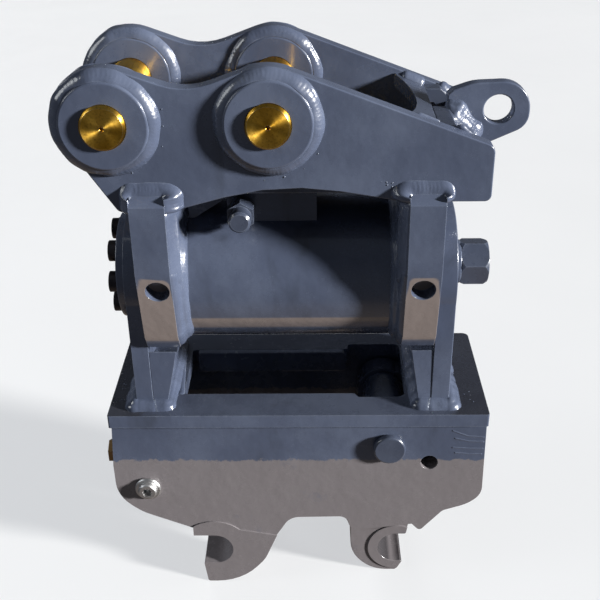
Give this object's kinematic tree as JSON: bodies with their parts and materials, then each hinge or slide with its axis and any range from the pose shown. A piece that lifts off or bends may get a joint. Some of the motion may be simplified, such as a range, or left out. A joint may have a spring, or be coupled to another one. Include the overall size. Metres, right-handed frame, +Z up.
{
  "type": "tilting quick coupler",
  "caption": "Hydraulic tilting quick coupler: twin ears with pins and a lifting eye on a tilting actuator, over a box frame with fixed and moving hooks.",
  "frame": {"origin": "middle of the stick pin, the ear pin farthest from the lifting eye", "axes": "+Z up with the coupler standing on its hooks, +X along the tilt axis towards the lifting eye, +Y across the coupler along the pins"},
  "size_m": [0.4357, 0.196, 0.596],
  "materials": {
    "paint": "gloss slate blue grey paint over welded plate",
    "yellow_zinc": "turned steel with yellow zinc plating",
    "black_oxide": "black oxide",
    "steel": "machined",
    "bronze": "bearing bronze",
    "brass": "dull brass",
    "seal": "matt",
    "valve": "milled"
  },
  "bodies": {
    "lower_frame": {"tilt_shaft": "steel", "end_hub": "steel", "end_flange": "paint", "flange_bolts": "black_oxide", "tie_bolt": "paint", "tie_washer": "paint", "upright_left": "paint", "upright_right": "paint", "cheek_left": "paint", "cheek_right": "paint", "base_plate": "paint", "stiffener_bar": "paint", "side_front": "paint", "side_rear": "paint", "fixed_hook_front": "paint", "fixed_hook_rear": "paint", "end_plate_left": "paint", "end_plate_right": "paint", "brass_adapter": "brass", "pivot_bolt": "paint", "pivot_nut": "paint", "base_pin": "steel", "base_pin_spacers": "paint", "cylinder_barrel": "paint", "cylinder_gland": "steel", "lock_valve": "valve"},
    "ear_frame": {"ear_front": "paint", "ear_rear": "paint", "boss_stick_front": "paint", "boss_stick_rear": "paint", "boss_link_front": "paint", "boss_link_rear": "paint", "cross_plate": "paint", "slope_plate": "paint", "lifting_eye": "paint", "belly_plate": "paint", "port_block": "paint", "port_fitting": "paint", "gusset_wedge": "paint", "saddle_left": "paint", "saddle_right": "paint", "housing_tube": "paint", "bearing_left": "bronze", "bearing_right": "bronze", "seal_left": "seal", "seal_right": "seal"},
    "stick_pin_body": {"stick_pin": "yellow_zinc"},
    "link_pin_body": {"link_pin": "yellow_zinc"},
    "tilt_piston": {"piston_sleeve": "steel", "piston_seal": "seal"},
    "moving_hook": {"hook_arm_front": "paint", "hook_arm_rear": "paint", "hook_hub": "paint", "hook_jaw": "paint", "hook_lugs": "paint", "lug_pin": "steel"},
    "lock_rod_body": {"lock_rod": "steel", "lock_piston": "steel"}
  },
  "joints": [
    {"name": "tilt", "type": "hinge", "parent": "lower_frame", "child": "ear_frame", "pos_m": [0.181, 0, -0.177], "axis": [1, 0, 0], "range_deg": [-45, 45]},
    {"name": "piston_travel", "type": "slide", "parent": "ear_frame", "child": "tilt_piston", "axis": [1, 0, 0], "range_m": [-0.03, 0.03]},
    {"name": "stick_pin_slide", "type": "slide", "parent": "ear_frame", "child": "stick_pin_body", "axis": [0, 1, 0], "range_m": [-0.25, 0]},
    {"name": "link_pin_slide", "type": "slide", "parent": "ear_frame", "child": "link_pin_body", "axis": [0, 1, 0], "range_m": [-0.25, 0]},
    {"name": "hook_swing", "type": "hinge", "parent": "lower_frame", "child": "moving_hook", "pos_m": [0.26, 0, -0.358], "axis": [0, 1, 0], "range_deg": [0, 25]},
    {"name": "lock_rod_travel", "type": "slide", "parent": "lower_frame", "child": "lock_rod_body", "axis": [1, 0, 0], "range_m": [-0.0235, 0]}
  ],
  "couplings": [
    {"joint": "piston_travel", "follows": "tilt", "m_per_rad": 0.036},
    {"joint": "lock_rod_travel", "follows": "hook_swing", "m_per_rad": -0.05357}
  ]
}
